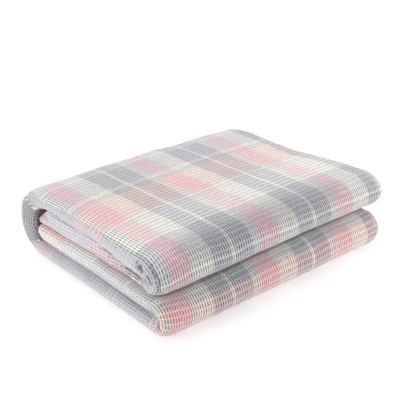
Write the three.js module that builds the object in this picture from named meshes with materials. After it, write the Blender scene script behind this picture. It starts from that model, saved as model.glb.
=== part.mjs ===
// A muslin blanket of 1.5 by 1.2 m, folded for a shelf. Millimetres, +Z up.
// The cloth is folded in half and in half again across its width, which makes a strip of four plies
// with one closed, rounded fold along the -X end of the pack. Both ends of the strip are then turned in
// and the strip is closed like a book, so a cut across the pack shows four thick layers:
//   top layer, upper inner layer, lower inner layer, bottom layer.
// Two rolls, one above the other, run along the front (-Y), and the closed back is at +Y.
// It is one piece of cloth, so it is one solid. The origin is the centre of the underside.
import * as THREE from "three";

// Driving dimensions
const PACK_LENGTH = 378.4;
const PACK_WIDTH = 309;
const PACK_HEIGHT = 97;

// A thick layer is four plies and the three gaps between them. A ply is loose where the layer is thick
// and pressed flat where it is thin, so both are shares of the layer's own thickness.
const PLY = 0.2;
const GAP = (1 - 4 * PLY) / 3;
const PITCH = PLY + GAP;

// How far the round of a fold reaches along X, as a share of the layer's thickness. Where the plies
// stand apart by more than MOST_LOFT, at the back, the rounds get shorter again.
const END_FOLD = 0.875;
const FAR_FOLD = 0.63;
const MOST_LOFT = 33;
const FREE_EDGE_BACK = 2;

// The layers in the order of the strip, each as cuts from where the strip enters it to where it leaves.
// low and high are the heights of its two faces. near and far are how far its ends at -X and at +X are
// set back from the pack's nominal ends, and less than nothing where they stand out.
const UPPER_INNER = [
  { y: 104, low: 56.5, high: 62.5, near: 6, far: 2 },
  { y: 101, low: 54.5, high: 65, near: 5, far: 0 },
  { y: 90, low: 51, high: 65.5, near: 4.5, far: -2 },
  { y: 76, low: 49.3, high: 67, near: 4, far: -3 },
  { y: 40, low: 49.3, high: 65, near: 4, far: -3.4 },
  { y: 0, low: 49.3, high: 66, near: 4, far: -3.4 },
  { y: -22, low: 49.3, high: 69, near: 4, far: -3.4 },
  { y: -36, low: 49.3, high: 65.4, near: 4, far: -3.4 },
  { y: -120, low: 49.3, high: 62.7, near: 4, far: -3.4 },
];
const TOP = [
  { y: -120, low: 64.2, high: PACK_HEIGHT, near: -2.6, far: -6.4 },
  { y: -36, low: 66.8, high: PACK_HEIGHT, near: -0.4, far: -0.5 },
  { y: -22, low: 70.4, high: PACK_HEIGHT, near: 0, far: 0.5 },
  { y: 0, low: 67.4, high: PACK_HEIGHT, near: 0.6, far: 2 },
  { y: 40, low: 66.4, high: PACK_HEIGHT, near: 1.6, far: 5 },
  { y: 76, low: 69.2, high: PACK_HEIGHT, near: 2, far: 6 },
  { y: 89, low: 73, high: PACK_HEIGHT, near: 1.6, far: 6.4 },
];
const BOTTOM = [
  { y: 89, low: 0, high: 24, near: 1.6, far: 6.4 },
  { y: -135, low: 0, high: 27.9, near: 0.3, far: 5.5 },
];
const LOWER_INNER = [
  { y: -135, low: 29.1, high: 48.4, near: 0.8, far: 10.9 },
  { y: 92, low: 25.4, high: 48.2, near: 0.8, far: 8 },
  { y: 101, low: 27, high: 49.5, near: 2, far: 9 },
  { y: 106, low: 32, high: 47, near: 4, far: 10 },
];

// The turns of the strip: how far the outer and the inner face reach past the layers they join, and how
// square each curve is, where 2 is an ellipse.
const UPPER_ROLL = { outer: 30.6, inner: 1.2, outerSquare: 1.96, innerSquare: 2, back: false };
const BACK = { outer: 69.4, inner: 22, outerSquare: 2.29, innerSquare: 2.9, back: true };
const LOWER_ROLL = { outer: 24.3, inner: 1.2, outerSquare: 1.86, innerSquare: 2, back: false };

// Soft unevenness of the whole pack. along and across run from -1 to 1 over its length and width.
const CROWN = 2.2;
const END_SLOPE = 2.9;
const BACK_RISE = { height: 2.2, across: 0.8, spread: 0.4 };
const FAR_DIP = { depth: 4.5, along: 0.86, across: 0, alongSpread: 0.29, acrossSpread: 0.34 };
const BACK_BOW = { depth: 3.9, from: 108, to: 158 };
const NEAR_HOLLOW = { depth: 2.9, spread: 0.3 };
const GROOVE_WAVE = { rise: 2.6, sink: 0.8, x: 65, xSpread: 80, z: 54, zSpread: 24, frontSpread: 0.6 };

// How finely the surface is divided
const CUT_LENGTH = 50;
const STEPS = { roll: 10, back: 12, run: 7 };
const ARC_STEPS = { endOuter: 9, endInner: 5, coreOuter: 5, coreInner: 3, far: 6, farInner: 3, edge: 3 };

const CLOTH_COLOUR = 0xd9d3d4;

const mix = (a, b, w) => a + (b - a) * w;

// Cosine and sine of a squared-off circle
function squaredCircle(angle, square) {
  const power = 2 / square;
  const c = Math.cos(angle);
  const s = Math.sin(angle);
  return {
    c: Math.sign(c) * Math.abs(c) ** power,
    s: Math.sign(s) * Math.abs(s) ** power,
  };
}

// One place along the strip: where its outer and inner faces are, and how far its ends are set back
function station(row, facesUp) {
  return {
    outerY: row.y,
    outerZ: facesUp ? row.high : row.low,
    innerY: row.y,
    innerZ: facesUp ? row.low : row.high,
    near: row.near,
    far: row.far,
  };
}

function mixRows(from, to, w) {
  const out = {};
  for (const key of Object.keys(from)) {
    out[key] = mix(from[key], to[key], w);
  }
  return out;
}

// Stations along a layer's cuts. facesUp says whether the strip's outer face is on top.
function layer(cuts, facesUp) {
  const out = [station(cuts[0], facesUp)];
  for (let k = 0; k + 1 < cuts.length; k++) {
    const steps = Math.ceil(Math.abs(cuts[k + 1].y - cuts[k].y) / CUT_LENGTH);
    for (let i = 1; i <= steps; i++) {
      out.push(station(mixRows(cuts[k], cuts[k + 1], i / steps), facesUp));
    }
  }
  return out;
}

// Stations of a turn from the station before it to the station after it, without those two
function turn(before, after, shape, steps) {
  const out = [];
  const side = shape.back ? 1 : -1;
  for (let i = 1; i < steps; i++) {
    const angle = Math.PI / 2 - (Math.PI * i) / steps;
    const outer = squaredCircle(angle, shape.outerSquare);
    const inner = squaredCircle(angle, shape.innerSquare);
    const place = mixRows(before, after, i / steps);
    place.outerY += side * shape.outer * outer.c;
    place.outerZ = mix(after.outerZ, before.outerZ, (1 + outer.s) / 2);
    place.innerY += side * shape.inner * inner.c;
    place.innerZ = mix(after.innerZ, before.innerZ, (1 + inner.s) / 2);
    out.push(place);
  }
  return out;
}

// The whole strip, from the hemmed end of the upper inner layer to that of the lower inner layer
function stripStations() {
  const second = layer(UPPER_INNER, false);
  const first = layer(TOP, true);
  const fourth = layer(BOTTOM, false);
  const third = layer(LOWER_INNER, true);
  return [
    ...second,
    ...turn(second.at(-1), first[0], UPPER_ROLL, STEPS.roll),
    ...first,
    ...turn(first.at(-1), fourth[0], BACK, STEPS.back),
    ...fourth,
    ...turn(fourth.at(-1), third[0], LOWER_ROLL, STEPS.roll),
    ...third,
  ];
}

// Points of a half round about (x, share), from one angle to the other, ends included
function halfRound(x, share, reach, shareReach, from, to, steps) {
  const out = [];
  for (let i = 0; i <= steps; i++) {
    const angle = mix(from, to, i / steps);
    out.push([x + reach * Math.cos(angle), share + shareReach * Math.sin(angle)]);
  }
  return out;
}

// Points strictly between two places along X, on one face of a ply
function faceRun(fromX, toX, share) {
  const out = [];
  for (let i = 1; i < STEPS.run; i++) {
    out.push([mix(fromX, toX, i / STEPS.run), share]);
  }
  return out;
}

// How far the +X end of a layer reaches at one share of its thickness, between 0 and 1
const farProfile = (share) => Math.sqrt(1 - (2 * share) ** 2);

// The closed outline of the four plies across the strip, as pairs of x and the share of the layer's
// thickness, which is +0.5 on the outer face and -0.5 on the inner face. The cloth is folded at -X, then
// at +X, then at -X again, and both its edges lie at +X.
function plyOutline(thickness, place) {
  const loft = Math.min(thickness, MOST_LOFT ** 2 / thickness);
  const ply = PLY * loft;
  const gap = GAP * loft;
  const reach = END_FOLD * loft;
  const farReach = FAR_FOLD * loft;
  const nearX = -PACK_LENGTH / 2 + place.near + reach;
  const farX = PACK_LENGTH / 2 - place.far - farReach;
  const coreReach = reach - ply - gap;
  const up = Math.PI / 2;
  const left = (shareReach, length, flip, steps) =>
    halfRound(nearX, 0, length, shareReach, flip ? 3 * up : up, flip ? up : 3 * up, steps);
  const right = (shareReach, length, flip, steps) => {
    const round = halfRound(farX, PITCH, length, shareReach, flip ? up : -up, flip ? -up : up, steps);
    return round.map(([x, share]) => [mix(farX, x, farProfile(share)), share]);
  };
  const edgeX = (share) => farX + farReach * farProfile(share) - FREE_EDGE_BACK;
  const edge = (share) => halfRound(edgeX(share), share, ply / 2, PLY / 2, -up, up, ARC_STEPS.edge);
  const innerEdge = -1.5 * PITCH;
  const coreEdge = -0.5 * PITCH;
  return [
    ...faceRun(farX, nearX, 0.5),
    ...left(0.5, reach, false, ARC_STEPS.endOuter),
    ...faceRun(nearX, edgeX(innerEdge), -0.5),
    ...edge(innerEdge),
    ...faceRun(edgeX(innerEdge), nearX, -0.5 + PLY),
    ...left(0.5 - PLY, reach - ply, true, ARC_STEPS.endInner),
    ...faceRun(nearX, farX, 0.5 - PLY),
    ...right(GAP / 2, farReach - ply, true, ARC_STEPS.farInner),
    ...faceRun(farX, nearX, PITCH - GAP / 2),
    ...left(PITCH - GAP / 2, coreReach, false, ARC_STEPS.coreOuter),
    ...faceRun(nearX, edgeX(coreEdge), GAP / 2 - PITCH),
    ...edge(coreEdge),
    ...faceRun(edgeX(coreEdge), nearX, -GAP / 2),
    ...left(GAP / 2, coreReach - ply, true, ARC_STEPS.coreInner),
    ...faceRun(nearX, farX, GAP / 2),
    ...right(PITCH - GAP / 2, farReach, false, ARC_STEPS.far),
  ];
}

const bell = (value, centre, spread) => Math.exp(-(((value - centre) / spread) ** 2));

// The soft crown, dip and bows of the pack. Heights change in step at every level and each change fades
// slowly, so the plies never meet, and the underside stays flat.
function soften(point) {
  const along = point.x / (PACK_LENGTH / 2);
  const across = point.y / (PACK_WIDTH / 2);
  const middle = 1 - along ** 2;
  const groove =
    bell(point.z, GROOVE_WAVE.z, GROOVE_WAVE.zSpread) * bell(across, -1, GROOVE_WAVE.frontSpread);
  const wave = GROOVE_WAVE.rise * bell(point.x, GROOVE_WAVE.x, GROOVE_WAVE.xSpread) - GROOVE_WAVE.sink;
  const dip =
    FAR_DIP.depth *
    bell(along, FAR_DIP.along, FAR_DIP.alongSpread) *
    bell(across, FAR_DIP.across, FAR_DIP.acrossSpread);
  const rise =
    CROWN * middle * (1 - across ** 2) +
    END_SLOPE * along +
    BACK_RISE.height * middle * bell(across, BACK_RISE.across, BACK_RISE.spread) -
    dip;
  point.z = point.z * (1 + rise / PACK_HEIGHT) + wave * groove;
  point.y += BACK_BOW.depth * middle * THREE.MathUtils.smoothstep(point.y, BACK_BOW.from, BACK_BOW.to);
  point.x += NEAR_HOLLOW.depth * (1 - across ** 2) * bell(along, -1, NEAR_HOLLOW.spread);
  return point;
}

// The cloth as one closed surface: the ply outline at each station, joined to the next, with both
// hemmed ends closed.
function foldedCloth() {
  const stations = stripStations();
  const positions = [];
  const indices = [];
  let ring = 0;
  for (const place of stations) {
    const thickness = Math.hypot(place.outerY - place.innerY, place.outerZ - place.innerZ);
    const outline = plyOutline(thickness, place);
    ring = outline.length;
    for (const [x, share] of outline) {
      const y = mix(place.innerY, place.outerY, share + 0.5);
      const z = mix(place.innerZ, place.outerZ, share + 0.5);
      const point = soften(new THREE.Vector3(x, y, z));
      positions.push(point.x, point.y, point.z);
    }
  }
  for (let i = 0; i + 1 < stations.length; i++) {
    for (let j = 0; j < ring; j++) {
      const a = i * ring + j;
      const b = i * ring + ((j + 1) % ring);
      indices.push(a, a + ring, b);
      indices.push(b, a + ring, b + ring);
    }
  }
  const closeEnd = (index, reversed) => {
    const first = index * ring;
    const flat = [];
    const place = stations[index];
    const thickness = Math.abs(place.outerZ - place.innerZ);
    for (const [x, share] of plyOutline(thickness, place)) {
      flat.push(new THREE.Vector2(x, share * thickness));
    }
    for (const [a, b, c] of THREE.ShapeUtils.triangulateShape(flat, [])) {
      const face = reversed ? [a, c, b] : [a, b, c];
      indices.push(...face.map((corner) => first + corner));
    }
  };
  closeEnd(0, false);
  closeEnd(stations.length - 1, true);
  const geometry = new THREE.BufferGeometry();
  geometry.setAttribute("position", new THREE.Float32BufferAttribute(positions, 3));
  geometry.setIndex(indices);
  geometry.computeBoundingBox();
  const { min, max } = geometry.boundingBox;
  geometry.translate(-(min.x + max.x) / 2, -(min.y + max.y) / 2, -min.z);
  geometry.computeVertexNormals();
  return geometry;
}

function muslinBlanket() {
  const material = new THREE.MeshStandardMaterial({
    color: CLOTH_COLOUR,
    roughness: 0.95,
    metalness: 0,
  });
  const cloth = new THREE.Mesh(foldedCloth(), material);
  cloth.name = "muslin_blanket";
  const group = new THREE.Group();
  group.add(cloth);
  return group;
}

export default muslinBlanket();
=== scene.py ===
# A muslin blanket folded for a shelf: one soft, open-woven sheet with a woven plaid in pink, cream and
# grey. The cloth is rebuilt here in the same place as the model's solid, finer and softer, with its
# creases and puckers set one by one. The folded end is at -X and the free edges are at +X, the two rolls
# are in front at -Y and the rounded back is at +Y. Lengths are in millimetres down to where the points and
# the woven chart are made, and in metres from there on.
import math
from collections import namedtuple
import bpy
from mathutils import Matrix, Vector, noise


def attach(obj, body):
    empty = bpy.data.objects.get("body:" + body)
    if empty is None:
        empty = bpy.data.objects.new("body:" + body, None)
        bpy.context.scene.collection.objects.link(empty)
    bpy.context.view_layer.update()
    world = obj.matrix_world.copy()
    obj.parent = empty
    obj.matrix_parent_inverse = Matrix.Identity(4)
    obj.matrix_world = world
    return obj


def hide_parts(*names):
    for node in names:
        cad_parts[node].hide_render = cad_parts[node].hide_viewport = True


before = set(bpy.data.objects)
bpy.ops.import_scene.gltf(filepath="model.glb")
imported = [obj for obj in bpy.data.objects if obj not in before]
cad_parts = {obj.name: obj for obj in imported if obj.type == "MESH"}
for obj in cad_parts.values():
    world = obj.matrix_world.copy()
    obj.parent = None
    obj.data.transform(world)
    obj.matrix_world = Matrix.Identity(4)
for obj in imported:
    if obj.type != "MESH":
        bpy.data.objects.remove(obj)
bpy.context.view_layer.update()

# The cloth's fine unevenness is noise that would otherwise start from the clock
SEED = 7
noise.seed_set(SEED)

MM = 0.001
QUARTER_TURN = math.pi / 2

# The straight pack, and the point of the softened one that goes to the frame's origin
PACK_LENGTH = 378.4
PACK_WIDTH = 309.0
PACK_HEIGHT = 97.0
HALF_LENGTH = PACK_LENGTH / 2
HALF_WIDTH = PACK_WIDTH / 2
CENTRE = Vector((2.675, 1.39, 0.0))

# A thick layer of the pack is four plies of cloth and the three gaps between them, in shares of its
# thickness. The outer plies lie OUTER_PLY from the layer's middle and the two in the core CORE_PLY
PLY = 0.2
GAP = (1 - 4 * PLY) / 3
PITCH = PLY + GAP
OUTER_PLY = 1.5 * PITCH
CORE_PLY = 0.5 * PITCH
# How far the plies reach where they fold, at -X and at +X, in shares of the loft. The loft is the layer's
# thickness up to MOST_LOFT and falls again past it, in the turns of the strip
END_FOLD = 0.875
FAR_FOLD = 0.63
MOST_LOFT = 33.0
# How far the free edges lie back from the fold at +X
FREE_EDGE_BACK = 2.0

# A layer is rows of y, low face, high face, set back at -X and set back at +X, whether its outer face is
# the high one, its longest step, and its folded end: how square that is towards the outer and the inner
# face, where 2 is round, and how far each face lifts there. None stands where the crease tables say it
Layer = namedtuple("Layer", "rows faces_up step end")
UPPER_INNER = Layer([
    (103, 54.0, 58.5, 5, 2),
    (99, 52.0, 60.5, 3, 0),
    (92, 50.6, 62.5, 1.6, -2),
    (86, 50.0, 67.5, 0.8, -2),
    (80, 49.6, 70.4, 0.5, -3),
    (70, 49.4, 70.6, 0.4, -3),
    (40, 49.3, 65.9, 0.4, -3.4),
    (0, 49.3, 66.9, 1.8, -3.4),
    (-22, 49.3, 69.8, 3.0, -3.4),
    (-36, 49.3, 65.4, 4.6, -3.4),
    (-78, 49.3, 64.2, 9, -3.4),
    (-108, 49.3, 63.2, 9, -3.4),
    (-120, 49.3, 62.7, 5, -3.4),
], False, 5.6, (2.6, None, 4.5, None))
TOP = Layer([
    (-120, 64.2, PACK_HEIGHT, -2.6, -6.4),
    (-36, 66.8, PACK_HEIGHT, -0.4, -0.5),
    (-22, 70.4, PACK_HEIGHT, 0, 0.5),
    (0, 67.4, PACK_HEIGHT, 0.6, 2),
    (40, 66.4, PACK_HEIGHT, 1.6, 5),
    (76, 70.2, PACK_HEIGHT, 2, 6),
    (89, 71.8, PACK_HEIGHT, 1.6, 6.4),
], True, 4.6, (2.1, None, 0, None))
BOTTOM = Layer([
    (89, 0, 24, 1.6, 6.4),
    (-135, 0, 27.9, 0.3, 5.5),
], False, 8.5, (2.0, 2.2, 0, 0))
LOWER_INNER = Layer([
    (-135, 29.1, 48.4, 0.8, 10.9),
    (92, 25.4, 48.2, 0.8, 8),
    (101, 27, 49.5, 2, 9),
    (106, 32, 47, 4, 10),
], True, 9.0, (3.0, 2.2, 3.4, 0))

# The turns between the layers: the side they go to, outer and inner reach, squareness of both curves, and
# steps
Turn = namedtuple("Turn", "side outer_reach inner_reach outer_square inner_square steps")
UPPER_ROLL = Turn(-1, 30.6, 1.2, 1.96, 2.0, 44)
BACK = Turn(1, 69.4, 22.0, 2.29, 2.9, 52)
LOWER_ROLL = Turn(-1, 24.3, 1.2, 1.86, 2.0, 26)

# The crease between the two upper layers at the folded end: y and how far the faces at it lift, and y and
# how square they are there
CREASE_LIFT = [
    (-135, 1.0),
    (-112, 1.5),
    (-90, 2.0),
    (-71, 3.2),
    (-45, 6.5),
    (-25, 10.4),
    (-5, 12.0),
    (60, 11.8),
    (82, 9.8),
    (94, 6.6),
    (108, 2.0),
]
CREASE_SQUARE = [(-120, 2.4), (-45, 2.6), (-20, 6.0), (0, 14.0), (108, 14.0)]
# From which y to which the outer faces of the two inner layers come to their full lift, and where the
# upper one loses it again
UPPER_LIFT_RISES = (-75, 0)
UPPER_LIFT_FALLS = (90, 104)
LOWER_LIFT_RISES = (-90, -10)
# The lift starts and is full this far from the folded end
LIFT_STARTS = 48
LIFT_FULL = 8

# Rows of the upper inner layer with finer steps between them, for the pucker by the back
FINE_ROWS = (86, 80, 70)
FINE_STEP = 2.0
EASING_PASSES = 6

# Points across the strip for each flat run of cloth, and steps round each fold
FACE_POINTS = 84
INSIDE_POINTS = 17
END_POINTS = 40
END_FOLD_STEPS = 180
CORE_FOLD_STEPS = 12
FAR_FOLD_STEPS = 14
HEM_STEPS = 4
# The rounded ends of the strip: how far out, in shares of half a ply, and how full each ply is there
HEM_TAPER = ((0.6, 0.8), (0.9, 0.45), (1.0, 0.12))


def mix(a, b, w):
    return a + (b - a) * w


def between(value, rows):
    """The second number of rows of pairs, read off at value."""
    if value <= rows[0][0]:
        return rows[0][1]
    for (start, before), (end, after) in zip(rows, rows[1:]):
        if value <= end:
            return mix(before, after, (value - start) / (end - start))
    return rows[-1][1]


def bell(value, centre, spread):
    """1 at the centre, and down towards 0 on both sides."""
    return math.exp(-(((value - centre) / spread) ** 2))


def smooth(value, low, high):
    """0 up to low, 1 from high on, and eased in between."""
    w = min(1.0, max(0.0, (value - low) / (high - low)))
    return w * w * (3 - 2 * w)


def squared_circle(angle, square):
    """Cosine and sine on a circle drawn out towards a square. It is round at 2."""
    c, s = math.cos(angle), math.sin(angle)
    return math.copysign(abs(c) ** (2 / square), c), math.copysign(abs(s) ** (2 / square), s)


# A place along the strip: y and z of its outer and of its inner face, both set-backs, the squareness of
# the folded end towards each face, and how far each face lifts there
Station = namedtuple(
    "Station",
    "outer_y outer_z inner_y inner_z near far outer_square inner_square outer_lift inner_lift",
)
EASED = ("outer_z", "inner_z", "near", "far")


def depth_of(place):
    """Thickness of the layer at a station."""
    return math.hypot(place.outer_y - place.inner_y, place.outer_z - place.inner_z)


def station(row, shape):
    """The station that a row of a layer's table gives."""
    y, low, high, near, far = row
    outer, inner = (high, low) if shape.faces_up else (low, high)
    return Station(y, outer, y, inner, near, far, *shape.end)


def layer(shape):
    """Stations along a layer, eased where its cuts change."""
    out = [station(shape.rows[0], shape)]
    for before, after in zip(shape.rows, shape.rows[1:]):
        fine = before[0] in FINE_ROWS and after[0] in FINE_ROWS
        steps = math.ceil(abs(after[0] - before[0]) / (FINE_STEP if fine else shape.step))
        for i in range(1, steps + 1):
            out.append(station([mix(a, b, i / steps) for a, b in zip(before, after)], shape))
    for _ in range(EASING_PASSES):
        out[1:-1] = [eased(*neighbours) for neighbours in zip(out, out[1:], out[2:])]
    return out


def eased(last, place, following):
    """A station with its faces and set-backs drawn towards those of its neighbours."""
    levels = {
        name: (getattr(last, name) + 2 * getattr(place, name) + getattr(following, name)) / 4
        for name in EASED
    }
    return place._replace(**levels)


def creased(place):
    """A station of an upper layer, its inner face shaped by the crease between the two."""
    return place._replace(
        inner_square=between(place.outer_y, CREASE_SQUARE),
        inner_lift=between(place.outer_y, CREASE_LIFT),
    )


def lifted(place, share):
    """The same station with only that share of its outer face's lift."""
    return place._replace(outer_lift=place.outer_lift * share)


def turn(before, after, shape):
    """Stations of a turn of the strip, without the two that it joins."""
    out = []
    for i in range(1, shape.steps):
        angle = QUARTER_TURN - math.pi * i / shape.steps
        outer_c, outer_s = squared_circle(angle, shape.outer_square)
        inner_c, inner_s = squared_circle(angle, shape.inner_square)
        place = Station(*(mix(a, b, i / shape.steps) for a, b in zip(before, after)))
        out.append(place._replace(
            outer_y=place.outer_y + shape.side * shape.outer_reach * outer_c,
            outer_z=mix(after.outer_z, before.outer_z, (1 + outer_s) / 2),
            inner_y=place.inner_y + shape.side * shape.inner_reach * inner_c,
            inner_z=mix(after.inner_z, before.inner_z, (1 + inner_s) / 2),
        ))
    return out


def strip_stations():
    """All the stations, from the hem of the upper inner layer to the hem of the lower one."""
    upper_inner = []
    for place in layer(UPPER_INNER):
        rises = smooth(place.outer_y, *UPPER_LIFT_RISES)
        falls = smooth(place.outer_y, *UPPER_LIFT_FALLS)
        upper_inner.append(lifted(creased(place), rises * (1 - falls)))
    top = [creased(place) for place in layer(TOP)]
    bottom = layer(BOTTOM)
    lower_inner = [lifted(place, smooth(place.outer_y, *LOWER_LIFT_RISES)) for place in layer(LOWER_INNER)]
    return [
        *upper_inner,
        *turn(upper_inner[-1], top[0], UPPER_ROLL),
        *top,
        *turn(top[-1], bottom[0], BACK),
        *bottom,
        *turn(bottom[-1], lower_inner[0], LOWER_ROLL),
        *lower_inner,
    ]


def hemmed_ends(places):
    """The stations with the rounded ends of the strip added, each with its ply fullness."""
    def beyond(place):
        out = []
        for reach, fullness in HEM_TAPER:
            step = PLY / 2 * depth_of(place) * reach
            moved = place._replace(outer_y=place.outer_y + step, inner_y=place.inner_y + step)
            out.append((moved, fullness))
        return out

    return [*beyond(places[0])[::-1], *((place, 1.0) for place in places), *beyond(places[-1])]


def half_round(centre, share, reach, share_reach, start, end, steps):
    """Points round a fold, from one angle to another."""
    out = []
    for i in range(steps + 1):
        angle = mix(start, end, i / steps)
        out.append((centre + reach * math.cos(angle), share + share_reach * math.sin(angle)))
    return out


def distance(a, b, depth):
    """Length between two points of an outline, whose second number is a share of the depth."""
    return math.hypot(b[0] - a[0], (b[1] - a[1]) * depth)


def evenly(points, depth, steps):
    """The same curve through points that are an even length apart."""
    lengths = [0.0]
    for a, b in zip(points, points[1:]):
        lengths.append(lengths[-1] + distance(a, b, depth))
    out, k = [], 0
    for i in range(steps):
        wanted = lengths[-1] * i / steps
        while lengths[k + 1] < wanted:
            k += 1
        w = (wanted - lengths[k]) / (lengths[k + 1] - lengths[k])
        out.append((mix(points[k][0], points[k + 1][0], w), mix(points[k][1], points[k + 1][1], w)))
    return out + [points[-1]]


def run(start, end, share, points):
    """Points along a flat run, without those at its two ends."""
    return [(mix(start, end, i / points), share) for i in range(1, points)]


def far_profile(share):
    """How much of the far fold's reach is left at a share of the thickness."""
    return math.sqrt(max(0.0, 1 - (2 * share) ** 2))


def strip_outline(place, fullness):
    """The closed outline of the four plies across the strip: (x, share of the thickness, place across
    the sheet, whether it is on a hem). A fullness below 1 makes each ply thinner about its own middle."""
    depth = depth_of(place)
    loft = min(depth, MOST_LOFT ** 2 / depth)
    half = PLY / 2 * fullness
    near_x = -HALF_LENGTH + place.near + END_FOLD * loft
    far_x = HALF_LENGTH - place.far - FAR_FOLD * loft
    end_reach = (END_FOLD - PLY / 2) * loft
    core_reach = end_reach - PITCH * loft
    far_reach = (FAR_FOLD - PLY / 2) * loft
    full_far = FAR_FOLD * loft

    def edge_x(share):
        return far_x + full_far * far_profile(share) - FREE_EDGE_BACK

    def squared(points, reach, half_share):
        """A fold at the folded end made squarer towards its faces."""
        out = []
        for x, share in points:
            c, s = (near_x - x) / reach, share / half_share
            square = place.outer_square if s > 0 else place.inner_square
            c, s = max(0.0, c) ** (2 / square), math.copysign(abs(s) ** (2 / square), s)
            out.append((near_x - reach * c, s * half_share))
        return out

    def side(out_by):
        """One side of the cloth from its edge on the inner face to its edge in the core, in seven runs,
        and the three of them that are folds."""
        reach, share = end_reach + out_by * loft, OUTER_PLY + out_by
        near_fold = half_round(near_x, 0, reach, share, 3 * QUARTER_TURN, QUARTER_TURN, END_FOLD_STEPS)
        near_fold = evenly(squared(near_fold, reach, share), depth, END_POINTS)
        far_fold = half_round(
            far_x, PITCH, far_reach + out_by * loft, CORE_PLY + out_by, QUARTER_TURN, -QUARTER_TURN,
            FAR_FOLD_STEPS,
        )
        far_fold = [(mix(far_x, x, far_profile(share)), share) for x, share in far_fold]
        reach, share = core_reach - out_by * loft, CORE_PLY - out_by
        core_fold = half_round(near_x, 0, reach, share, QUARTER_TURN, 3 * QUARTER_TURN, CORE_FOLD_STEPS)
        core_fold = squared(core_fold, reach, share)
        on_face = FACE_POINTS if out_by > 0 else INSIDE_POINTS
        runs = [
            run(edge_x(-OUTER_PLY), near_x, -OUTER_PLY - out_by, INSIDE_POINTS),
            near_fold,
            run(near_x, far_x, OUTER_PLY + out_by, on_face),
            far_fold,
            run(far_x, near_x, CORE_PLY - out_by, INSIDE_POINTS),
            core_fold,
            run(near_x, edge_x(-CORE_PLY), -CORE_PLY + out_by, INSIDE_POINTS),
        ]
        return runs, (near_fold, far_fold, core_fold)

    def arc(points):
        return sum(distance(a, b, depth) for a, b in zip(points, points[1:]))

    runs_out, folds_out = side(half)
    runs_in, _ = side(-half)
    near_arc, far_arc, core_arc = (arc(points) for points in folds_out)
    at_far = far_x + far_arc
    at_core = at_far + far_x - near_x
    # The place across the sheet along each run, from x where it is flat and from w, the share of the
    # way round, where it is a fold
    across = [
        lambda x, w: near_x - near_arc - (x - near_x),
        lambda x, w: near_x - near_arc * (1 - w),
        lambda x, w: x,
        lambda x, w: far_x + far_arc * w,
        lambda x, w: at_far + far_x - x,
        lambda x, w: at_core + core_arc * w,
        lambda x, w: at_core + core_arc + x - near_x,
    ]

    def placed(runs):
        out = []
        for points, rule in zip(runs, across):
            last = max(1, len(points) - 1)
            out += [(x, share, rule(x, i / last), False) for i, (x, share) in enumerate(points)]
        return out

    def hem(share, rule):
        x = edge_x(share)
        points = half_round(x, share, half * loft, half, -QUARTER_TURN, QUARTER_TURN, HEM_STEPS)
        u = rule(x, 0)
        return [(hem_x, hem_share, u, True) for hem_x, hem_share in points]

    return [
        *hem(-OUTER_PLY, across[0]),
        *placed(runs_in),
        *hem(-CORE_PLY, across[-1]),
        *placed(runs_out)[::-1],
    ]


# Softness of the whole pack: how far each moves the cloth, and the centre and spread of it. Those along
# and across are shares of half the pack's length and width
CROWN = 2.2
BACK_CROWN = 2.2
BACK_CROWN_ACROSS = (0.8, 0.4)
TILT = 2.9
DIP = 4.5
DIP_ALONG = (0.86, 0.29)
DIP_ACROSS = (0, 0.34)
# The groove between the two halves, which rises and falls along the front
GROOVE_Z = (54, 24)
GROOVE_ACROSS = (-1, 0.6)
GROOVE_WAVE = 2.6
GROOVE_WAVE_X = (65, 80)
GROOVE_DROP = 0.8
# The back bows outwards, not yet at the first y and fully at the second, and the folded end goes in at
# its middle
BACK_BOW = 3.9
BACK_BOW_Y = (108, 158)
END_HOLLOW = 2.9
END_HOLLOW_ALONG = (-1, 0.3)


def soften(x, y, z):
    """Where a point of the straight pack goes as the whole of it sags and bows."""
    along = x / HALF_LENGTH
    across = y / HALF_WIDTH
    middle = 1 - along ** 2
    groove = bell(z, *GROOVE_Z) * bell(across, *GROOVE_ACROSS)
    wave = GROOVE_WAVE * bell(x, *GROOVE_WAVE_X) - GROOVE_DROP
    dip = DIP * bell(along, *DIP_ALONG) * bell(across, *DIP_ACROSS)
    rise = CROWN * middle * (1 - across ** 2) + TILT * along
    rise = rise + BACK_CROWN * middle * bell(across, *BACK_CROWN_ACROSS) - dip
    z = z * (1 + rise / PACK_HEIGHT) + wave * groove
    y += BACK_BOW * middle * smooth(y, *BACK_BOW_Y)
    x += END_HOLLOW * (1 - across ** 2) * bell(along, *END_HOLLOW_ALONG)
    return x, y, z


# Colours of the puckers: painted shade for the creases and under the lumps, and a red edge and a cream
# loop of the cloth
CREASE_SHADE = (0.05, 0.05, 0.07, 1)
RED = (0.55, 0.13, 0.18, 1)
LIGHT = (0.80, 0.76, 0.68, 1)
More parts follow.
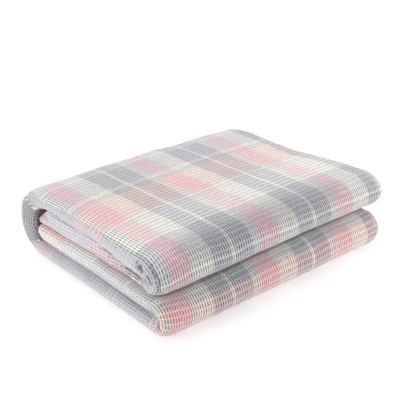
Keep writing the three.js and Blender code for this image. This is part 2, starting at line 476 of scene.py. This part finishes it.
# Puckers in the folded end, each from one y, z to another, with its depth, width, how strongly it is
# painted,
# and the colour: the dark one is painted shade in the crease. Four follow the rim of the upper roll, three
# are its lumps, one paints shade on the cloth under it, one is the long crease of the lower half, two turn
# in the end of the lower roll, and three are by the back: a red edge, a cream loop and painted shade
PUCKERS = [
    ((-131.0, 88.0), (-140.0, 81.8), 1.2, 1.3, 0.6, CREASE_SHADE),
    ((-140.0, 81.8), (-145.0, 75.0), 1.7, 1.3, 0.7, CREASE_SHADE),
    ((-145.0, 75.0), (-145.6, 68.0), 2.0, 1.4, 0.7, CREASE_SHADE),
    ((-145.6, 68.0), (-144.2, 59.0), 1.7, 1.3, 0.6, CREASE_SHADE),
    ((-113.5, 84.5), (-117.0, 80.5), 1.8, 2.3, 1.0, CREASE_SHADE),
    ((-121.0, 83.5), (-124.5, 78.5), 2.0, 2.3, 1.0, CREASE_SHADE),
    ((-132.5, 76.0), (-136.2, 68.0), 2.3, 2.3, 1.0, CREASE_SHADE),
    ((-78.0, 62.5), (-104.0, 60.0), 1.2, 4.4, 0.85, CREASE_SHADE),
    ((-66.0, 24.5), (-128.0, 22.0), 0.9, 2.2, 0.5, CREASE_SHADE),
    ((-136.0, 30.0), (-147.0, 28.0), 1.5, 1.8, 0.8, CREASE_SHADE),
    ((-147.0, 28.0), (-151.0, 16.0), 1.6, 1.8, 0.8, CREASE_SHADE),
    ((82.0, 77.0), (75.0, 67.0), 1.0, 4.4, 0.85, RED),
    ((109.0, 71.0), (86.0, 78.0), 0.0, 2.2, 0.9, LIGHT),
    ((95.0, 62.0), (85.0, 70.0), 0.6, 6.0, 0.72, CREASE_SHADE),
]
# They start and are full this far from the folded end
PUCKERS_START = 26
PUCKERS_FULL = 8


def pressed(x, y, z):
    """How far the puckers push a point of the folded end inwards, how strongly they paint it, and the
    colour: painted shade in the creases, and a red edge and a cream loop of the cloth by the back.
    """
    close = smooth(-x, HALF_LENGTH - PUCKERS_START, HALF_LENGTH - PUCKERS_FULL)
    deepest, strongest, shade = 0.0, 0.0, CREASE_SHADE
    for (y0, z0), (y1, z1), depth, width, shade_and_tint, tone in PUCKERS:
        run_y, run_z = y1 - y0, z1 - z0
        w = ((y - y0) * run_y + (z - z0) * run_z) / (run_y ** 2 + run_z ** 2)
        w = min(1.0, max(0.0, w))
        near = bell(math.hypot(y - y0 - w * run_y, z - z0 - w * run_z), 0, width) * close
        deepest = max(deepest, depth * near)
        if shade_and_tint * near > strongest:
            strongest, shade = shade_and_tint * near, tone
    return deepest, strongest, shade


# Fine unevenness: size of its lumps, how far it moves the cloth, and where in the noise it is taken
UNEVENNESS = (
    (46.0, 1.0, Vector((3.1, 7.7, 1.3))),
    (15.0, 0.45, Vector((8.2, 2.4, 5.9))),
)
# Below this height the cloth lies ever more firmly on what is under the pack
LOOSE_FROM = 14


def settle(x, y, z, press):
    """A softened point in its place in the frame, with the fine unevenness of soft cloth, the same
    through all the plies at one place, and pressed in by its puckers."""
    place = Vector((x, y, z))
    shift = Vector()
    for size, amount, apart in UNEVENNESS:
        shift += noise.noise_vector(place / size + apart) * amount
    shift *= smooth(z, 0, LOOSE_FROM)
    shift.x += press
    return (place + shift - CENTRE) * MM


# Below, along is the way along the strip, from the pack's centre on the top and on over the back, and
# across is the way across the sheet, from the pack's centre on the top too.
# How far the warp's stripes wander across the folded cloth, by the place along it
WARP_DRIFT = [
    (-450, 6.0),
    (-200, 7.0),
    (-160, -1.0),
    (-120, 1.5),
    (-90, 1.2),
    (-30, -1.5),
    (30, -2.5),
    (90, -4.3),
    (150, -5.0),
    (300, -5.0),
    (540, -7.0),
    (640, -8.0),
    (760, -12.0),
]
# How far the weft's stripes are shifted, how far they are bent back at the folded end, and how much they
# slant, by the place along
WEFT_SHIFT = [
    (-330, -19.0),
    (-240, -19.0),
    (-200, 0.0),
    (470, 0.0),
    (510, 6.0),
    (566, 6.0),
    (610, 0.0),
]
WEFT_BEND = [
    (-200, 0.0),
    (-170, 9.0),
    (-90, 9.0),
    (-40, 12.0),
    (60, 12.0),
    (130, 0.0),
    (500, 0.0),
    (540, -7.0),
]
WEFT_SLANT = [
    (-200, 0.0),
    (-100, 0.01),
    (-40, 0.032),
    (60, 0.032),
    (200, 0.0),
    (470, 0.0),
    (510, 0.02),
    (566, 0.02),
    (610, 0.0),
]
# The bend starts at -BEND_START across and is full BEND_LENGTH on. The slant runs between two places
BEND_START = 120
BEND_LENGTH = 72
SLANT_ACROSS = (-120.0, 160.0)
# At the corner by the back, the stripes are shifted away from the folded end, and past -CORNER_TURN across
# the pattern goes on more slowly
CORNER_STARTS = (96, 140)
CORNER_ENDS = (228, 250)
CORNER_SHIFT = 14.4
CORNER_SHIFT_ACROSS = (100, 178)
CORNER_TURN = 186
CORNER_SLOWING = 0.6

# How open the weave lies on the face and on the folded end, by the place along. Past 1.3 it also darkens
# the cloth with painted shade, as on the folded end by the back
OPEN_FACE = [
    (-200, 1.0),
    (-150, 1.1),
    (-115, 1.35),
    (-75, 1.3),
    (-50, 1.25),
    (110, 1.2),
    (150, 1.0),
    (500, 1.0),
    (590, 1.1),
    (600, 0.3),
]
OPEN_END = [
    (-440, 0.35),
    (-190, 0.4),
    (-150, 0.7),
    (-100, 0.4),
    (100, 0.4),
    (150, 1.5),
    (225, 1.5),
    (245, 0.6),
    (300, 0.35),
    (500, 0.5),
    (540, 1.0),
    (580, 0.6),
    (600, 0.35),
]
# The cloth lies wider open on the front of the upper roll, and darker there with painted shade, as it
# turns from the light
FRONT_OPEN_AND_SHADE = 0.75
FRONT_OPEN_ALONG = (-134, 21)
FRONT_OPEN_STARTS = (-170, -135)
FRONT_OPEN_ENDS = (80, 150)
# How far across the folded end begins and is fully reached, and how open the hems are: woven shut
FOLDED_END = (185, 193)
HEM_OPEN = -0.6
# How near its full height the top counts as reached
NEAR_TOP = 0.01


def opened(across, along, end):
    """How open the weave lies at a point of the sheet, which past 1.3 also darkens it with painted shade.
    end is 1 on the folded end and 0 off it.
    """
    front = bell(along, *FRONT_OPEN_ALONG) * smooth(across, *FRONT_OPEN_STARTS)
    front *= 1 - smooth(across, *FRONT_OPEN_ENDS)
    return mix(between(along, OPEN_FACE) + FRONT_OPEN_AND_SHADE * front, between(along, OPEN_END), end)


def woven_place(across, along):
    """Where a point of the sheet is in the woven pattern."""
    bend = min(1.0, max(0.0, (-BEND_START - across) / BEND_LENGTH))
    corner = smooth(along, *CORNER_STARTS) * (1 - smooth(along, *CORNER_ENDS))
    slowed = max(0.0, -CORNER_TURN - across) * CORNER_SLOWING
    across += (slowed - CORNER_SHIFT * smooth(-across, *CORNER_SHIFT_ACROSS)) * corner
    shift = between(along, WEFT_SHIFT) - between(along, WEFT_BEND) * bend ** 2
    slant_from, slant_to = SLANT_ACROSS
    shift += between(along, WEFT_SLANT) * max(slant_from, min(across, slant_to))
    return across - between(along, WARP_DRIFT), along - shift


def folded_cloth():
    """The whole sheet as one closed mesh, with the chart of its pattern and the attributes of its look."""
    rows = hemmed_ends(strip_stations())
    lengths = [0.0]
    for (before, _), (after, _) in zip(rows, rows[1:]):
        step = math.hypot(after.outer_y - before.outer_y, after.outer_z - before.outer_z)
        lengths.append(lengths[-1] + step)
    on_top = next(i for i, (place, _) in enumerate(rows) if place.outer_z >= PACK_HEIGHT - NEAR_TOP)
    start = lengths[on_top] - rows[on_top][0].outer_y + CENTRE.y

    points, chart, at_end, open_weave_and_shade, puckered, tones = [], [], [], [], [], []
    for (place, fullness), length in zip(rows, lengths):
        outline = strip_outline(place, fullness)
        for x, share, u, hemmed in outline:
            y = mix(place.inner_y, place.outer_y, share + 0.5)
            z = mix(place.inner_z, place.outer_z, share + 0.5)
            lift = mix(place.inner_lift, place.outer_lift, share + 0.5)
            z += lift * smooth(-x, HALF_LENGTH - LIFT_STARTS, HALF_LENGTH - LIFT_FULL)
            x, y, z = soften(x, y, z)
            press, strength, tone = pressed(x, y - CENTRE.y, z)
            points.append(settle(x, y, z, press))
            puckered.append(strength)
            tones.extend(tone)
            across, along = u - CENTRE.x, length - start
            end = smooth(-across, *FOLDED_END)
            at_end.append(end)
            open_weave_and_shade.append(HEM_OPEN if hemmed else opened(across, along, end))
            across, along = woven_place(across, along)
            chart.append((across * MM, along * MM))

    ring = len(outline)
    faces = []
    for row in range(len(rows) - 1):
        for j in range(ring):
            a, b = row * ring + j, row * ring + (j + 1) % ring
            faces.append((a, a + ring, b + ring, b))
    last = (len(rows) - 1) * ring
    faces.append(tuple(range(ring)))
    faces.append(tuple(range(last, last + ring))[::-1])

    mesh = bpy.data.meshes.new("muslin_blanket_cloth")
    mesh.from_pydata(points, [], faces)
    woven = mesh.uv_layers.new(name="woven")
    for loop in mesh.loops:
        woven.data[loop.index].uv = chart[loop.vertex_index]
    # The puckers' attributes carry painted shade in their creases, and the open weave's also sets painted
    # shade where it lies widest open
    for name, values in (("folded_end", at_end), ("open_weave_and_shade", open_weave_and_shade), ("pucker", puckered)):
        mesh.attributes.new(name, "FLOAT", "POINT").data.foreach_set("value", values)
    mesh.attributes.new("pucker_shade_and_colour", "FLOAT_COLOR", "POINT").data.foreach_set("color", tones)
    mesh.polygons.foreach_set("use_smooth", [True] * len(mesh.polygons))
    mesh.update()
    cloth = bpy.data.objects.new("muslin_blanket_cloth", mesh)
    bpy.context.scene.collection.objects.link(cloth)
    return cloth


cloth = folded_cloth()
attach(cloth, "root")
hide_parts("muslin_blanket")


class Weave:
    """Adds nodes to one material, each in a short call."""

    # Sockets of a colour Mix node, by number because its names repeat
    WEIGHT, ONE, OTHER, BLENDED = 0, 6, 7, 2

    def __init__(self, name):
        self.material = bpy.data.materials.new(name)
        self.material.use_nodes = True
        self.tree = self.material.node_tree
        self.tree.nodes.clear()

    def node(self, kind, **settings):
        made = self.tree.nodes.new(kind)
        for key, value in settings.items():
            setattr(made, key, value)
        return made

    def feed(self, socket, value):
        if isinstance(value, bpy.types.NodeSocket):
            self.tree.links.new(value, socket)
        else:
            socket.default_value = value

    def fed(self, kind, values, **settings):
        """The first output of a node whose inputs are fed in their order."""
        made = self.node(kind, **settings)
        for socket, value in zip(made.inputs, values):
            self.feed(socket, value)
        return made.outputs[0]

    def maths(self, operation, *values, clamp=False):
        return self.fed("ShaderNodeMath", values, operation=operation, use_clamp=clamp)

    def product(self, one, other):
        return self.maths("MULTIPLY", one, other)

    def line(self, value, slope, start, clamp=False):
        """slope times value, and start on top."""
        return self.maths("MULTIPLY_ADD", value, slope, start, clamp=clamp)

    def ease(self, value, low, high, to_low=0.0, to_high=1.0):
        values = (value, low, high, to_low, to_high)
        return self.fed("ShaderNodeMapRange", values, interpolation_type="SMOOTHSTEP")

    def share(self, length, repeat):
        """How far along its repeat a length is, from 0 to 1."""
        return self.maths("FRACT", self.maths("DIVIDE", length, repeat))

    def attribute(self, name, output="Fac"):
        return self.node("ShaderNodeAttribute", attribute_name=name).outputs[output]

    def blend(self, weight, one, other):
        made = self.node("ShaderNodeMix", data_type="RGBA")
        for socket, value in ((self.WEIGHT, weight), (self.ONE, one), (self.OTHER, other)):
            self.feed(made.inputs[socket], value)
        return made.outputs[self.BLENDED]

    def scaled(self, colour, factor):
        made = self.node("ShaderNodeVectorMath", operation="SCALE")
        self.feed(made.inputs[0], colour)
        self.feed(made.inputs["Scale"], factor)
        return made.outputs[0]

    def bands(self, place, stripes):
        """A stripe's colour by its place in the repeat. stripes is a list of (start, colour)."""
        made = self.node("ShaderNodeValToRGB")
        ramp = made.color_ramp
        ramp.interpolation = "CONSTANT"
        while len(ramp.elements) > 1:
            ramp.elements.remove(ramp.elements[-1])
        for i, (start, colour) in enumerate(stripes):
            element = ramp.elements[0] if i == 0 else ramp.elements.new(start)
            element.position = start
            element.color = colour
        self.feed(made.inputs[0], place)
        return made.outputs[0]

    def cloud(self, coordinates, size, detail=2.0, rough=0.5):
        """Noise in lumps of about that size, from 0 to 1."""
        made = self.node("ShaderNodeTexNoise", noise_dimensions="3D")
        self.feed(made.inputs["Vector"], coordinates)
        self.feed(made.inputs["Scale"], 1 / size)
        self.feed(made.inputs["Detail"], detail)
        self.feed(made.inputs["Roughness"], rough)
        return made.outputs["Fac"]

    def waver(self, coordinates, size, detail=2.0):
        """The same noise, from -0.5 to 0.5."""
        return self.maths("SUBTRACT", self.cloud(coordinates, size, detail), 0.5)


WHITE = (1, 1, 1, 1)
# Yarn colours, light reflected in red, green and blue
ROSE = (0.825, 0.485, 0.52, 1)
SALMON = (0.89, 0.49, 0.44, 1)
CREAM = (0.84, 0.82, 0.74, 1)
ECRU = (0.85, 0.82, 0.75, 1)
GREY = (0.39, 0.39, 0.44, 1)
SLATE = (0.41, 0.41, 0.455, 1)
PEARL = (0.64, 0.645, 0.63, 1)
IVORY = (0.71, 0.70, 0.635, 1)
LILAC = (0.50, 0.50, 0.55, 1)
# The down that covers the folded end, lightened with painted sheen where its fibres catch the light
DOWN_AND_SHEEN = (0.66, 0.635, 0.675, 1)
# Painted shade: what shows deep between the ribs of each, the ply under a slit in shadow, and inside the
# hollow by the back, where the red is the rose cloth in shade
ROSE_DEEP = (0.28, 0.09, 0.14, 1)
CREAM_DEEP = (0.13, 0.13, 0.125, 1)
GREY_DEEP = (0.05, 0.05, 0.07, 1)
TEAL_DEEP = (0.115, 0.15, 0.16, 1)
ROSE_IN_PAINTED_SHADE = (0.20, 0.02, 0.04, 1)

# Lengths in the weave, from here on, are in metres. The warp's stripes: where each starts, as a share of
# the repeat, its yarn and the painted shade between its ribs
WARP_REPEAT = 0.1337
WARP_START = -0.1738
WARP = [
    (0.0, ROSE, ROSE_DEEP),
    (0.205, ROSE, TEAL_DEEP),
    (0.217, CREAM, CREAM_DEEP),
    (0.448, GREY, GREY_DEEP),
    (0.650, CREAM, CREAM_DEEP),
    (0.686, GREY, GREY_DEEP),
    (0.897, IVORY, TEAL_DEEP),
    (0.948, PEARL, TEAL_DEEP),
]
# The weft's stripes, from the start towards the front of the pack, on the face and on the folded end
WEFT_REPEAT = 0.261
WEFT_START = 0.0487
WEFT = [
    (0.0, ECRU),
    (0.026, SLATE),
    (0.068, SALMON),
    (0.294, ECRU),
    (0.3245, PEARL),
    (0.3475, ECRU),
    (0.5544, SLATE),
    (0.783, ECRU),
    (0.799, SLATE),
]
WEFT_AT_END = [
    (0.0, SLATE),
    (0.068, SALMON),
    (0.294, LILAC),
    (0.5544, SLATE),
]
# Ribs run along the strip and rows across it
RIB = WARP_REPEAT / 39
ROW = WEFT_REPEAT / 35

# The stripes waver: size of the lumps, and how far
WAVER_ACROSS = (0.034, 0.0022)
WAVER_ALONG = (0.027, 0.0030)
# Noise of the weave: size of its lumps, detail and roughness
UNEVEN_YARN = (0.004, 3.0)
GAPING_SLITS = 0.006
YARN_LUMPS = (0.0016, 4.0, 0.65)

# The hollow by the back is where the folded end lies more open than HOLLOW_OPEN, and not in the tunnel
# that goes on past HOLLOW_INNERMOST. Its cloth is darkened with painted shade, and past a narrow edge the
# rose cloth inside is painted dark red, in painted shade
HOLLOW_OPEN = 1.42
HOLLOW_INNERMOST = -0.275
HOLLOW_PAINTED_SHADE = 0.36
HOLLOW_ROSE_SHADE = 0.85
HOLLOW_ROSE_SHADE_EDGE = (-0.2125, -0.2140)

# A rib goes from 0 in the middle of its groove to 0.5 on its top. It rises between these two, and its
# unevenness is in the same measure
RIB_UNEVEN = 0.12
RIB_RISES = (0.06, 0.30)
# In the groove, a slit is full up to SLIT_FULL and gone at SLIT_GONE, or further out in an open weave
SLIT_UNEVEN = 0.25
SLIT_FULL = 0.12
SLIT_GONE = 0.17
SLIT_WIDENS = 0.08
# A row goes from 0 in the middle of the bar between two slits to 0.5 in the middle of a slit
SLIT_END_UNEVEN = 0.32
SLIT_ENDS = (0.09, 0.17)
BAR = (0.17, 0.08)
# Where in the noise slits gape less and more, and how much
GAPES = (0.34, 0.62, 0.86, 1.22)
# How strongly a slit is painted with the shade deep in it where the weave is closed, and how much more
# where it is open
SLIT_DEPTH = 0.36
SLIT_DEEPENS = 0.62

# Shares of the weft's colour on the ribs and on the bars, and of the bars on the face and the folded end
WEFT_ON_RIBS = 0.40
WEFT_ON_BARS = 0.66
BARS_ON_FACE = 0.62
BARS_LESS_AT_END = -0.30
# How light the yarn's lumps are, from the lowest to the highest, on the face and on the downy end, and how
# much painted shade darkens the cloth where the weave lies widest open: on the front of the upper roll and
# by the back
FUZZ = (0.3, 0.7, 0.84, 1.12)
FLUFF = (0.32, 0.68, 0.74, 1.16)
OPEN_WEAVE_PAINTED_SHADE = (1.3, 1.95, 1.0, 0.68)
# How much of the down shows where the weave is closed, with the painted sheen it carries
DOWN_AND_SHEEN_SHARE = 0.5
# From where to where the painted shade and the colours of the puckers come in
PUCKER_SHOWS = (0.15, 1.0)

# Relief: how much the ribs, the bars, the slits and the yarn's lumps add to the height
RIB_HEIGHT = 0.6
BAR_HEIGHT = 0.18
SLIT_FALL = 0.55
LUMP_HEIGHT = 0.35
RELIEF = {"Strength": 0.8, "Distance": 0.0012}
FINISH = {
    "Roughness": 0.95,
    "Specular IOR Level": 0.15,
    "Sheen Weight": 0.85,
    "Sheen Roughness": 0.5,
    "Sheen Tint": WHITE,
}


def wavering_place(weave, body):
    """Where a point is in the woven pattern, across and along."""
    woven = weave.node("ShaderNodeUVMap", uv_map="woven").outputs["UV"]
    chart = weave.node("ShaderNodeSeparateXYZ")
    weave.feed(chart.inputs[0], woven)
    out = []
    for place, (size, amount) in zip(chart.outputs, (WAVER_ACROSS, WAVER_ALONG)):
        out.append(weave.line(weave.waver(body, size), amount, place))
    return out


def hollow_by_back(weave, across, at_end, openness_and_shade):
    """1 in the hollow by the back, and 0 elsewhere."""
    is_open = weave.maths("GREATER_THAN", openness_and_shade, HOLLOW_OPEN)
    outside = weave.maths("GREATER_THAN", across, HOLLOW_INNERMOST)
    return weave.product(weave.product(at_end, is_open), outside)


def ribs_and_rows(weave, body, across, along, openness_and_shade, in_hollow):
    """How much of a rib's top, of a bar and of a slit there is at a point."""
    ribs = weave.maths("DIVIDE", weave.maths("SUBTRACT", across, WARP_START), RIB)
    # In the hollow, where the pattern is stretched, there are two ribs for one
    ribs = weave.product(ribs, weave.maths("ADD", weave.maths("ROUND", in_hollow), 1.0))
    rib = weave.maths("PINGPONG", weave.maths("FRACT", ribs), 0.5)
    row = weave.maths("PINGPONG", weave.share(weave.maths("SUBTRACT", WEFT_START, along), ROW), 0.5)
    uneven = weave.waver(body, *UNEVEN_YARN)
    rib_top = weave.ease(weave.line(uneven, RIB_UNEVEN, rib), *RIB_RISES)
    gone = weave.line(openness_and_shade, SLIT_WIDENS, SLIT_GONE)
    groove = weave.ease(weave.line(uneven, SLIT_UNEVEN, rib), gone, SLIT_FULL)
    in_row = weave.ease(weave.line(uneven, SLIT_END_UNEVEN, row), *SLIT_ENDS)
    gaping = weave.ease(weave.cloud(body, GAPING_SLITS), *GAPES)
    slit = weave.product(weave.product(groove, in_row), gaping)
    return rib_top, weave.ease(row, *BAR), slit


def plaid(weave, across, along, at_end, bar):
    """The colour of the yarns, and the painted shade deep between them."""
    warp_share = weave.share(weave.maths("SUBTRACT", across, WARP_START), WARP_REPEAT)
    weft_share = weave.share(weave.maths("SUBTRACT", WEFT_START, along), WEFT_REPEAT)
    warp = weave.bands(warp_share, [(start, yarn) for start, yarn, _ in WARP])
    deep = weave.bands(warp_share, [(start, tone) for start, _, tone in WARP])
    weft = weave.blend(at_end, weave.bands(weft_share, WEFT), weave.bands(weft_share, WEFT_AT_END))
    on_ribs = weave.blend(WEFT_ON_RIBS, warp, weft)
    on_bars = weave.blend(WEFT_ON_BARS, warp, weft)
    bar_share = weave.product(bar, weave.line(at_end, BARS_LESS_AT_END, BARS_ON_FACE))
    return weave.blend(bar_share, on_ribs, on_bars), deep


def shaded_cloth(weave, yarns, deep, slit, lumps, openness_and_shade, at_end):
    """The plaid with its fuzz, the painted shade in its slits and where the weave lies widest open, and
    the down of the folded end with its painted sheen.
    """
    fuzz_and_painted_shade = weave.product(weave.ease(lumps, *FUZZ), weave.ease(openness_and_shade, *OPEN_WEAVE_PAINTED_SHADE))
    depth = weave.line(openness_and_shade, SLIT_DEEPENS, SLIT_DEPTH, clamp=True)
    slitted = weave.blend(weave.product(slit, depth), weave.scaled(yarns, fuzz_and_painted_shade), deep)
    closed = weave.maths("SUBTRACT", 1.0, openness_and_shade, clamp=True)
    downy_sheen = weave.blend(weave.product(weave.product(at_end, closed), DOWN_AND_SHEEN_SHARE), slitted, DOWN_AND_SHEEN)
    flecked = weave.scaled(downy_sheen, weave.ease(lumps, *FLUFF))
    return weave.blend(at_end, slitted, flecked)


def creases(weave, colour, across, in_hollow):
    """The same with painted shade in the hollow by the back, painted dark red on the rose cloth inside it,
    and the painted shade and colours of the puckers.
    """
    colour = weave.blend(weave.product(in_hollow, HOLLOW_PAINTED_SHADE), colour, GREY_DEEP)
    inside = weave.product(in_hollow, weave.ease(across, *HOLLOW_ROSE_SHADE_EDGE))
    colour = weave.blend(weave.product(inside, HOLLOW_ROSE_SHADE), colour, ROSE_IN_PAINTED_SHADE)
    shows = weave.ease(weave.attribute("pucker"), *PUCKER_SHOWS)
    return weave.blend(shows, colour, weave.attribute("pucker_shade_and_colour", "Color"))


def muslin():
    weave = Weave("muslin_plaid")
    body = weave.node("ShaderNodeTexCoord").outputs["Object"]
    at_end = weave.attribute("folded_end")
    openness_and_shade = weave.attribute("open_weave_and_shade")
    across, along = wavering_place(weave, body)
    in_hollow = hollow_by_back(weave, across, at_end, openness_and_shade)
    rib_top, bar, slit = ribs_and_rows(weave, body, across, along, openness_and_shade, in_hollow)
    lumps = weave.cloud(body, *YARN_LUMPS)

    yarns, deep = plaid(weave, across, along, at_end, bar)
    colour = shaded_cloth(weave, yarns, deep, slit, lumps, openness_and_shade, at_end)
    colour = creases(weave, colour, across, in_hollow)

    height = weave.line(rib_top, RIB_HEIGHT, weave.product(bar, BAR_HEIGHT))
    height = weave.maths("SUBTRACT", height, weave.product(slit, SLIT_FALL))
    height = weave.line(lumps, LUMP_HEIGHT, height)
    relief = weave.node("ShaderNodeBump")
    for name, value in RELIEF.items():
        relief.inputs[name].default_value = value
    weave.feed(relief.inputs["Height"], height)

    shader = weave.node("ShaderNodeBsdfPrincipled")
    for name, value in FINISH.items():
        shader.inputs[name].default_value = value
    weave.feed(shader.inputs["Base Color"], colour)
    weave.feed(shader.inputs["Normal"], relief.outputs[0])
    out = weave.node("ShaderNodeOutputMaterial")
    weave.feed(out.inputs["Surface"], shader.outputs[0])
    return weave.material


cloth.data.materials.append(muslin())

# The floor lies a hair under the pack, and its glow keeps the shadow weak
FLOOR_SIZE = 12
FLOOR_Z = -0.0004
FLOOR_GREY = (0.55, 0.55, 0.55, 1)
FLOOR_ROUGHNESS = 0.9
FLOOR_GLOW = 0.5
WORLD_GLOW = 0.8


def plain(name, colour, roughness, glow):
    material = bpy.data.materials.new(name)
    material.use_nodes = True
    shader = material.node_tree.nodes["Principled BSDF"]
    shader.inputs["Base Color"].default_value = colour
    shader.inputs["Roughness"].default_value = roughness
    shader.inputs["Emission Color"].default_value = WHITE
    shader.inputs["Emission Strength"].default_value = glow
    return material


def soft_light(name, place, aim, size, power):
    data = bpy.data.lights.new(name, "AREA")
    data.shape = "DISK"
    data.size = size
    data.energy = power
    light = bpy.data.objects.new(name, data)
    light.location = place
    light.rotation_euler = (Vector(aim) - Vector(place)).to_track_quat("-Z", "Y").to_euler()
    bpy.context.scene.collection.objects.link(light)


bpy.ops.object.select_all(action="DESELECT")
bpy.ops.mesh.primitive_plane_add(size=FLOOR_SIZE, location=(0, 0, FLOOR_Z))
floor = bpy.context.object
floor.name = "floor"
floor.data.materials.append(plain("pale_floor", FLOOR_GREY, FLOOR_ROUGHNESS, FLOOR_GLOW))

# name, place, aim, size and power
soft_light("overhead", (0.3, 0.9, 1.7), (0, 0, 0.05), 1.6, 16)
soft_light("left", (-1.7, 0.25, 0.75), (0, 0, 0.04), 1.2, 16)
soft_light("right", (0.44, -0.40, 0.17), (0.17, -0.13, 0.05), 0.3, 1.0)

world = bpy.data.worlds.new("studio")
world.use_nodes = True
world.node_tree.nodes["Background"].inputs["Color"].default_value = WHITE
world.node_tree.nodes["Background"].inputs["Strength"].default_value = WORLD_GLOW
bpy.context.scene.world = world
bpy.context.scene.view_settings.view_transform = "Standard"

# The photograph's view, from a fit to the pack's corners and edges: angles in degrees
CAMERA_LENS = 72.2
CAMERA_SENSOR = 36
CAMERA_PLACE = (-0.63257, -0.72912, 0.490725)
CAMERA_LOOKS_DOWN = 23.786
CAMERA_TURNS_RIGHT = 40.762

lens = bpy.data.cameras.new("photo_view")
lens.lens = CAMERA_LENS
lens.sensor_width = CAMERA_SENSOR
camera = bpy.data.objects.new("photo_view", lens)
camera.location = CAMERA_PLACE
camera.rotation_euler = (math.radians(90 - CAMERA_LOOKS_DOWN), 0, math.radians(-CAMERA_TURNS_RIGHT))
bpy.context.scene.collection.objects.link(camera)
bpy.context.scene.camera = camera
